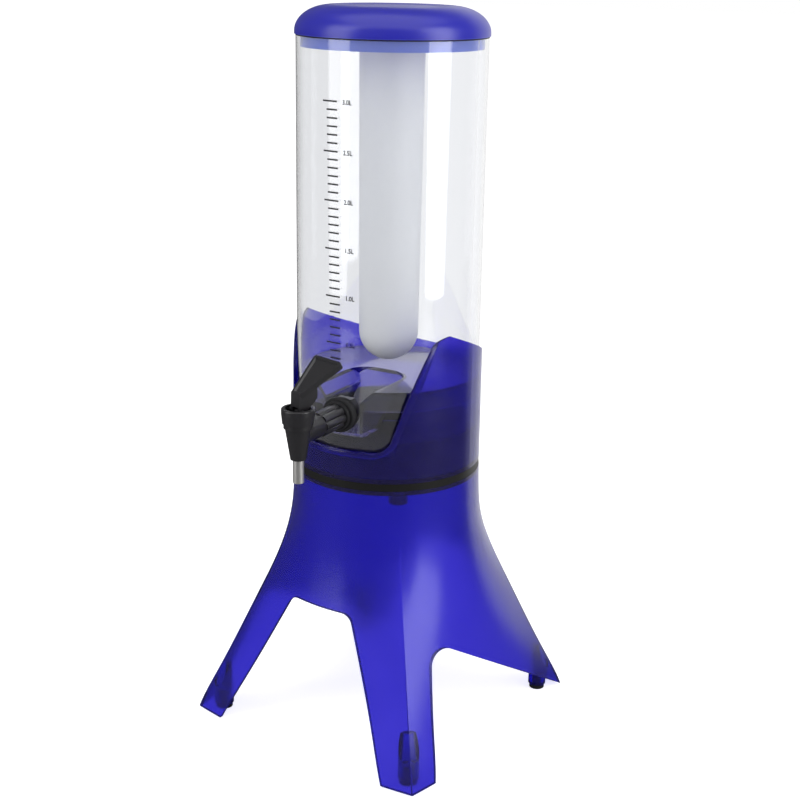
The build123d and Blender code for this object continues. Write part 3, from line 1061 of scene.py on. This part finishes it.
@dataclass
class ShadeSleeve:
    """Painted shade: thin dark sleeve round the tube's foot, open at the window, and pad under it.
    """

    window: WindowShape = field(default_factory=WindowShape)
    radius: float = 70.12 * MM
    skin: float = 0.1 * MM
    bottom: float = 218.4 * MM
    top: float = 246.0 * MM
    margin: float = 3.4 * MM
    segments: int = 160
    pad_radius: float = 66.6 * MM
    pad_thickness: float = 1.2 * MM
    pad_round: float = 0.4 * MM
    pad_round_cuts: int = 2
    pad_segments: int = 96
    pad_lift: float = 0.05 * MM
    pad_seat: float = 218.0 * MM

    def cut_window(self, mesh: bmesh.types.BMesh) -> None:
        """Cuts the window out of the front of the sleeve's wall.

        Args:
            mesh: the sleeve's wall.
        """
        low = self.window.bottom - self.margin
        side = self.window.half_width(low, self.margin)
        across, down = math.cos(self.window.slope), -math.sin(self.window.slope)
        slice_through(mesh, (0.0, 0.0, low), (0.0, 0.0, 1.0))
        slice_through(mesh, (side, 0.0, low), (across, 0.0, down))
        slice_through(mesh, (-side, 0.0, low), (-across, 0.0, down))
        gone = []
        for face in mesh.faces:
            middle = face.calc_center_median()
            inside = abs(middle.x) < self.window.half_width(middle.z, self.margin)
            if middle.y < 0.0 and middle.z > low and inside:
                gone.append(face)
        bmesh.ops.delete(mesh, geom=gone, context="FACES")

    def build_sleeve(self, workshop: Workshop) -> None:
        """Builds the dark sleeve's wall, painted shade, with the window cut out of it.

        Args:
            workshop: maker of the piece.
        """
        mesh = bmesh.new()
        bmesh.ops.create_circle(
            mesh, segments=self.segments, radius=self.radius, cap_ends=False
        )
        bmesh.ops.translate(mesh, verts=mesh.verts, vec=(0.0, 0.0, self.bottom))
        grown = bmesh.ops.extrude_edge_only(mesh, edges=list(mesh.edges))["geom"]
        upper = [item for item in grown if isinstance(item, bmesh.types.BMVert)]
        bmesh.ops.translate(mesh, verts=upper, vec=(0.0, 0.0, self.top - self.bottom))
        self.cut_window(mesh)
        bmesh.ops.recalc_face_normals(mesh, faces=mesh.faces)
        bmesh.ops.solidify(mesh, geom=mesh.faces[:], thickness=self.skin)
        self.window.turn_mesh(mesh)
        # The sleeve is a dark sheet that paints the shade seen through the holder's lower part.
        shade_sleeve = workshop.piece("painted_shade_sleeve", mesh, SHADE_SHEET_DARK, Body.TOWER)

    def build_pad(self, workshop: Workshop) -> None:
        """Builds the round dark pad, painted shade, that lies in the holder under the tube's
        floor.

        Args:
            workshop: maker of the piece.
        """
        mesh = bmesh.new()
        bmesh.ops.create_circle(
            mesh, segments=self.pad_segments, radius=self.pad_radius, cap_ends=True
        )
        bmesh.ops.translate(mesh, verts=mesh.verts, vec=(0.0, 0.0, self.pad_seat + self.pad_lift))
        upper = thicken(mesh, (0.0, 0.0, self.pad_thickness))
        bmesh.ops.recalc_face_normals(mesh, faces=mesh.faces)
        bmesh.ops.bevel(
            mesh,
            geom=[edge for edge in mesh.edges if all(vert in upper for vert in edge.verts)],
            offset=self.pad_round,
            segments=self.pad_round_cuts,
            profile=ROUND_PROFILE,
            affect="EDGES",
            material=-1,
        )
        pad = workshop.piece("painted_shade_pad", mesh, SHADE_SHEET_DARK, Body.TURNTABLE)

    def build(self, workshop: Workshop) -> None:
        """Builds the dark sleeve and pad that paint shade at the tube's foot.

        Args:
            workshop: maker of the pieces.
        """
        self.build_sleeve(workshop)
        self.build_pad(workshop)


@dataclass
class PhotoCamera:
    """Camera at the photograph's viewing angle, for a square image."""

    image_width: float = 800.0
    focal_pixels: float = 1426.4
    sensor: float = 36.0
    nearest: float = 0.01
    farthest: float = 50.0
    distance: float = 1059.4 * MM
    height: float = 591.2 * MM
    azimuth: float = math.radians(29.756)
    yaw: float = 0.00911
    pitch: float = 0.30481
    roll: float = 0.0169

    def build(self) -> None:
        """Sets the scene's camera."""
        data = bpy.data.cameras.new("photo_camera")
        data.sensor_width = self.sensor
        data.lens = self.sensor * self.focal_pixels / self.image_width
        data.clip_start = self.nearest
        data.clip_end = self.farthest
        camera = add_object("photo_camera", data)
        camera.matrix_world = (
            Matrix.Rotation(self.azimuth, 4, "Z")
            @ Matrix.Translation((0.0, -self.distance, self.height))
            @ Matrix.Rotation(-self.yaw, 4, "Z")
            @ Matrix.Rotation(math.pi / 2 - self.pitch, 4, "X")
            @ Matrix.Rotation(self.roll, 4, "Z")
        )
        bpy.context.scene.camera = camera


@dataclass(frozen=True)
class SoftBox:
    """One large soft studio lamp, with its angles in degrees and its sizes in metres."""

    name: str
    azimuth: float
    elevation: float
    distance: float
    width: float
    height: float
    radiance: float

    def build(self, aim: Vector) -> None:
        """Adds the lamp, turned to the object.

        Args:
            aim: point that it faces.
        """
        data = bpy.data.lights.new(self.name, "AREA")
        data.shape = "RECTANGLE"
        data.size = self.width
        data.size_y = self.height
        data.energy = self.radiance * math.pi * self.width * self.height
        lamp = add_object(self.name, data)
        turn, rise = math.radians(self.azimuth), math.radians(self.elevation)
        level = math.cos(rise)
        back = Vector((math.sin(turn) * level, -math.cos(turn) * level, math.sin(rise)))
        lamp.location = aim + back * self.distance
        lamp.rotation_mode = "QUATERNION"
        lamp.rotation_quaternion = (-back).to_track_quat("-Z", "Y")
        lamp.visible_camera = False


@dataclass
class Studio:
    """Plain pale floor, white surroundings and soft lamps.

    A sector of floor and surroundings behind the object is a white backdrop for what mirrors it.
    """

    floor_size: float = 30.0
    floor_colour: Colour = (0.9, 0.9, 0.9)
    floor_roughness: float = 0.9
    floor_glow: float = 0.74
    floor_through: float = 0.82
    floor_mirrored: float = 0.15
    ambient: float = 0.48
    mirrored: float = 0.16
    backdrop: float = 0.95
    backdrop_azimuth: float = math.radians(178.0)
    backdrop_start: float = 0.76
    backdrop_full: float = 0.88
    backdrop_near: float = 0.24
    backdrop_far: float = 0.45
    aim: Vector = field(default_factory=lambda: Vector((0.0, 0.0, 0.28)))
    lamps: tuple[SoftBox, ...] = (
        SoftBox("right_box", 86.0, 22.0, 0.85, 0.44, 1.0, 3.5),
        SoftBox("left_box", -34.0, 22.0, 0.85, 0.42, 1.0, 2.4),
        SoftBox("top_box", 20.0, 80.0, 1.1, 1.2, 1.2, 1.0),
    )

    def in_backdrop(self, tree: bpy.types.NodeTree, place: Socket) -> Socket:
        """Tells how far a direction or a spot on the floor lies in the white backdrop's sector.

        Args:
            tree: node tree to work in.
            place: direction or spot, seen from the object's middle.

        Returns:
            A factor from 0 outside to 1 inside.
        """
        turn = self.backdrop_azimuth
        unit = tree.nodes.new("ShaderNodeVectorMath")
        unit.operation = "NORMALIZE"
        tree.links.new(place, unit.inputs[0])
        along = tree.nodes.new("ShaderNodeVectorMath")
        along.operation = "DOT_PRODUCT"
        along.inputs[1].default_value = (math.sin(turn), -math.cos(turn), 0.0)
        tree.links.new(unit.outputs["Vector"], along.inputs[0])
        return soft_step(tree, along.outputs["Value"], self.backdrop_start, self.backdrop_full)

    def floor_light(self, shading: Shading, path: bpy.types.Node) -> Socket:
        """Works out how strongly the floor shines to the eye, through glass and in the backdrop.

        Args:
            shading: node tree of the floor's material.
            path: node that tells how the light came.

        Returns:
            The strength.
        """
        tree = shading.tree
        seen = calc(tree, "MULTIPLY", path.outputs["Is Camera Ray"], self.floor_glow)
        through = calc(tree, "MULTIPLY", path.outputs["Is Transmission Ray"], self.floor_through)
        mirrored = calc(tree, "MULTIPLY", path.outputs["Is Glossy Ray"], self.backdrop)
        away = tree.nodes.new("ShaderNodeVectorMath")
        away.operation = "LENGTH"
        shading.join(shading.place, away.inputs[0])
        far = soft_step(tree, away.outputs["Value"], self.backdrop_near, self.backdrop_far)
        in_sector = calc(tree, "MULTIPLY", mirrored, self.in_backdrop(tree, shading.place))
        behind = calc(tree, "MULTIPLY", in_sector, far)
        return calc(tree, "MAXIMUM", calc(tree, "MAXIMUM", seen, through), behind)

    def build_floor(self) -> None:
        """Lays the floor, white to the eye but with the object's shadow on it."""
        mesh = bmesh.new()
        bmesh.ops.create_grid(mesh, x_segments=1, y_segments=1, size=self.floor_size / 2)
        floor = add_object("floor", mesh_data("floor", mesh))
        shading = Shading("pale_floor")
        shading.set(Roughness=self.floor_roughness, Specular_IOR_Level=0.0)
        path = shading.tree.nodes.new("ShaderNodeLightPath")
        dim = tuple(c * self.floor_mirrored for c in self.floor_colour)
        tone = shading.blend(path.outputs["Is Glossy Ray"], self.floor_colour, dim)
        shading.drive("Base Color", tone)
        glow = shading.tree.nodes.new("ShaderNodeEmission")
        shading.join(self.floor_light(shading, path), glow.inputs["Strength"])
        both = shading.tree.nodes.new("ShaderNodeAddShader")
        shading.join(shading.shader.outputs["BSDF"], both.inputs[0])
        shading.join(glow.outputs["Emission"], both.inputs[1])
        shading.join(both.outputs["Shader"], shading.output.inputs["Surface"])
        floor.data.materials.append(shading.material)

    def build_world(self) -> None:
        """Makes the surroundings white to the eye and through glass, and an even light besides."""
        world = bpy.data.worlds.new("white_studio")
        bpy.context.scene.world = world
        world.use_nodes = True
        tree = world.node_tree
        background = tree.nodes["Background"]
        background.inputs["Color"].default_value = (1.0, 1.0, 1.0, 1.0)
        path = tree.nodes.new("ShaderNodeLightPath").outputs
        seen = calc(tree, "MAXIMUM", path["Is Camera Ray"], path["Is Transmission Ray"])
        way = tree.nodes.new("ShaderNodeTexCoord").outputs["Generated"]
        mirror = between(tree, self.in_backdrop(tree, way), self.mirrored, self.backdrop)
        plain = between(tree, path["Is Glossy Ray"], self.ambient, mirror)
        strength = calc(tree, "MAXIMUM", seen, plain)
        tree.links.new(strength, background.inputs["Strength"])

    def build(self) -> None:
        """Sets up floor, surroundings, lamps and colour handling."""
        self.build_floor()
        self.build_world()
        for lamp in self.lamps:
            lamp.build(self.aim)
        bpy.context.scene.view_settings.view_transform = "Standard"


def clear_scene() -> None:
    """Removes the objects that a new file starts with."""
    for thing in list(bpy.data.objects):
        bpy.data.objects.remove(thing)


def main() -> None:
    """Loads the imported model, dresses it and sets the studio round it."""
    logging.basicConfig(level=logging.INFO, format="%(name)s: %(message)s")
    clear_scene()
    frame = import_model()
    workshop = Workshop()
    workshop.dress_nodes(frame["nodes"])
    LitreScale().build(workshop)
    WindowLip().build(workshop)
    ShadeSleeve().build(workshop)
    PhotoCamera().build()
    Studio().build()


if __name__ == "__main__":
    main()
